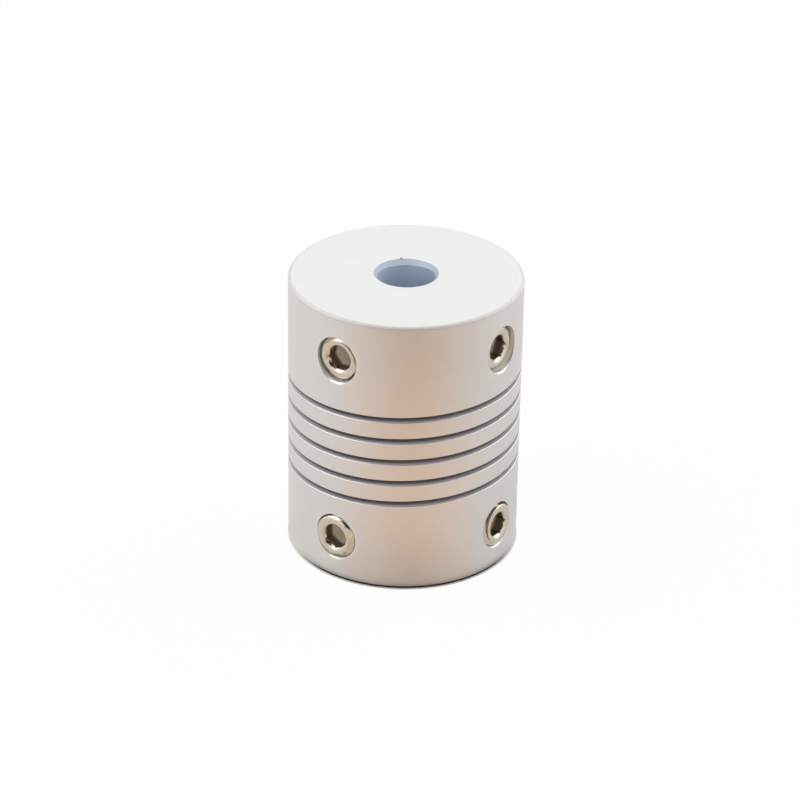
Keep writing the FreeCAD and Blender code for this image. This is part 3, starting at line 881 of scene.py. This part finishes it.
def white_paper(colour):
    """White paper that keeps a soft shadow at the coupling's foot."""
    tree = MaterialTree("white_paper")
    place = tree.own_place()
    x, y, _ = tree.separate(place)
    fibre = tree.bump(tree.noise(place, MARKS["paper"], 4.0), 0.1, 5e-5)
    open_floor = tree.ramp(tree.distance(x, y), FOOT_RADIUS + 0.02 * MM, FOOT_RADIUS + 0.10 * MM)
    share = tree.times(view_share(tree), tree.mix_number(open_floor, 0.1, 0.95))
    return tree.finish(tree.part_glow(share, tree.diffuse(rgba(colour), Normal=fibre), WHITE, 1.0))


def warm_card(colour, direction):
    """Card whose middle, in front of the coupling, is warm, and whose sides are pale grey."""
    tree = MaterialTree("warm_card")
    x, y, _ = tree.separate(tree.own_place())
    along = tree.plus(tree.times(x, direction.x), tree.times(y, direction.y))
    aside = tree.minus(tree.times(y, direction.x), tree.times(x, direction.y))
    # The coupling's side mirrors a spot at its foot in the strip that stands right over it, and
    # one far out in the strip that faces half as far round.
    away = tree.minus(tree.distance(x, y), FOOT_RADIUS)
    share = tree.over(tree.plus(away, FOOT_RADIUS), tree.math("MULTIPLY_ADD", away, 2.0, FOOT_RADIUS))
    facing = tree.times(tree.math("ARCTAN2", aside, along), share)
    facing = tree.minus(facing, math.radians(4.5))
    angle = tree.size(facing)
    # The card is warm up to 2 degrees from its middle line and pale from 45 degrees on.
    warm = tree.math("MULTIPLY_ADD", angle, -1 / math.radians(43), 45 / 43, clamp=True)
    pale = tree.mix_colour(tree.ramp(facing, -0.4, 0.5), CARD_TONES["left"], CARD_TONES["right"])
    tone = tree.mix_colour(warm, pale, rgba(colour))
    far = tree.times(tree.ramp(away, 26 * MM, 50 * MM), warm)
    tone = tree.mix_colour(far, tone, CARD_TONES["far"])
    # Painted shade: the warm strip greys within 16 mm of the coupling's foot.
    near = tree.times(tree.ramp(away, 16 * MM, 0.5 * MM), tree.times(warm, 0.6))
    tone = tree.mix_colour(near, tone, CARD_TONES["near"])
    # Painted contact shadow: in front, the card turns near black within 0.8 mm of the coupling's foot.
    front = tree.ramp(angle, math.radians(75), math.radians(45))
    foot = tree.times(tree.ramp(away, 0.8 * MM, 0.2 * MM), front)
    tone = tree.mix_colour(foot, tone, CARD_TONES["foot"])
    # Painted light: half of the card glows at a fixed strength, which halves the coupling's shadow on it.
    return tree.finish(tree.part_glow(0.5, tree.diffuse(tone), tone, 1.15))


def dark_cloth():
    """Nearly black cloth with a faint weave."""
    tree = MaterialTree("dark_cloth")
    weave = tree.noise(tree.own_place(), MARKS["cloth"])
    return tree.finish(tree.diffuse(tree.mix_colour(weave, *CLOTH_TONES)))


def upright_corners(middle, width, height):
    """The corners of an upright sheet that faces the coupling."""
    toward = -middle.normalized()
    right = toward.cross(Vector((0, 0, 1))).normalized() * width / 2
    up = right.cross(toward).normalized() * height / 2
    return [middle + x * right + y * up for x, y in SQUARE]


def raised(direction, degrees):
    """A level direction tipped up by this much."""
    angle = math.radians(degrees)
    return direction * math.cos(angle) + Vector((0, 0, math.sin(angle)))


class COUPLING_OT_stage(bpy.types.Operator):
    """Lay the floor and hang the soft panels."""

    bl_idname = "coupling.set_stage"
    bl_label = "Set the stage"

    def execute(self, context):
        stage = context.scene.coupling_stage
        corners = [(FLOOR_REACH * x, FLOOR_REACH * y, FLOOR_HEIGHT) for x, y in SQUARE]
        flat_sheet("floor", corners, white_paper(stage.floor))
        direction = Vector((math.sin(CAMERA_AZIMUTH), -math.cos(CAMERA_AZIMUTH), 0.0))
        angles = [math.tau * step / CARD_CORNERS for step in range(CARD_CORNERS)]
        corners = [(CARD_RADIUS * math.cos(angle), CARD_RADIUS * math.sin(angle), FLOOR_HEIGHT + CARD_LIFT)
                   for angle in angles]
        card = flat_sheet("warm_card", corners, warm_card(stage.card, direction))
        # The dark screen about the camera is what the coupling's mirror-bright edges show.
        corners = upright_corners(SCREEN_DISTANCE * raised(direction, SCREEN_RISE), *SCREEN_SIZE)
        screen = flat_sheet("dark_screen", corners, dark_cloth())
        for sheet in (card, screen):
            sheet.visible_camera = sheet.visible_diffuse = sheet.visible_shadow = False

        world = bpy.data.worlds.new("white_room")
        context.scene.world = world
        world.use_nodes = True
        world.node_tree.nodes.clear()
        tree = Wiring(world.node_tree)
        strength = tree.mix_number(view_share(tree), stage.sky, 1.0)
        back = tree.node("ShaderNodeBackground", {"Color": WHITE, "Strength": strength})
        tree.node("ShaderNodeOutputWorld", {"Surface": back.outputs[0]})

        behind = -direction * PANEL_BEHIND + Vector((0, 0, PANEL_HEIGHT))
        soft_panel("back_panel", behind, PANEL_SIZE, stage.panel)
        for name, degrees_round, degrees_up, share in SOFT_BOXES:
            level = Matrix.Rotation(math.radians(degrees_round), 3, "Z") @ direction
            soft_panel(name, BOX_DISTANCE * raised(level, degrees_up), BOX_SIZE, stage.soft_box * share)
        return {"FINISHED"}


class COUPLING_OT_camera(bpy.types.Operator):
    """Stand the camera where the photograph was taken."""

    bl_idname = "coupling.place_camera"
    bl_label = "Place the camera"

    def execute(self, context):
        x, y = math.sin(CAMERA_AZIMUTH), -math.cos(CAMERA_AZIMUTH)
        level = math.cos(CAMERA_ELEVATION)
        stand = CAMERA_DISTANCE * Vector((x * level, y * level, math.sin(CAMERA_ELEVATION)))
        forward = -stand.normalized()
        right = Vector((-y, x, 0.0))
        forward = (forward + AIM_RIGHT * right + AIM_UP * right.cross(forward)).normalized()
        right = forward.cross(Vector((0, 0, 1))).normalized()
        up = right.cross(forward)
        tilt_right = math.cos(CAMERA_ROLL) * right + math.sin(CAMERA_ROLL) * up
        tilt_up = math.cos(CAMERA_ROLL) * up - math.sin(CAMERA_ROLL) * right
        lens = bpy.data.cameras.new("photograph")
        lens.sensor_width = 36.0
        lens.lens = FOCAL_PIXELS / PICTURE_PIXELS * lens.sensor_width
        lens.clip_start = 0.01
        camera = add_object("photograph", lens)
        turn = Matrix((tilt_right, tilt_up, -forward)).transposed()
        camera.matrix_world = Matrix.Translation(stand) @ turn.to_4x4()
        context.scene.camera = camera
        context.scene.view_settings.view_transform = "Standard"
        return {"FINISHED"}


class VIEW3D_PT_coupling(bpy.types.Panel):
    """The coupling's sizes, colours and steps."""

    bl_label = "Flexible coupling"
    bl_space_type = "VIEW_3D"
    bl_region_type = "UI"
    bl_category = "Coupling"

    def draw(self, context):
        for group in GROUPS:
            settings = getattr(context.scene, group)
            box = self.layout.box()
            for name in type(settings).__annotations__:
                box.prop(settings, name)
        for step in STEPS:
            self.layout.operator(step.bl_idname)


STEPS = (COUPLING_OT_camera, COUPLING_OT_body, COUPLING_OT_set_screws, COUPLING_OT_stage)
GROUPS = {
    "coupling_body": CouplingBodySizes,
    "coupling_screws": SetScrewSizes,
    "coupling_finish": FinishColours,
    "coupling_stage": StageSettings,
}


def register():
    for cls in (*GROUPS.values(), *STEPS, VIEW3D_PT_coupling):
        bpy.utils.register_class(cls)
    for name, cls in GROUPS.items():
        setattr(bpy.types.Scene, name, PointerProperty(type=cls))


def unregister():
    for name in GROUPS:
        delattr(bpy.types.Scene, name)
    for cls in reversed((*GROUPS.values(), *STEPS, VIEW3D_PT_coupling)):
        bpy.utils.unregister_class(cls)


def main():
    register()
    bpy.ops.coupling.place_camera()
    bpy.ops.coupling.make_body()
    bpy.ops.coupling.make_set_screws()
    bpy.ops.coupling.set_stage()


if __name__ == "__main__":
    main()
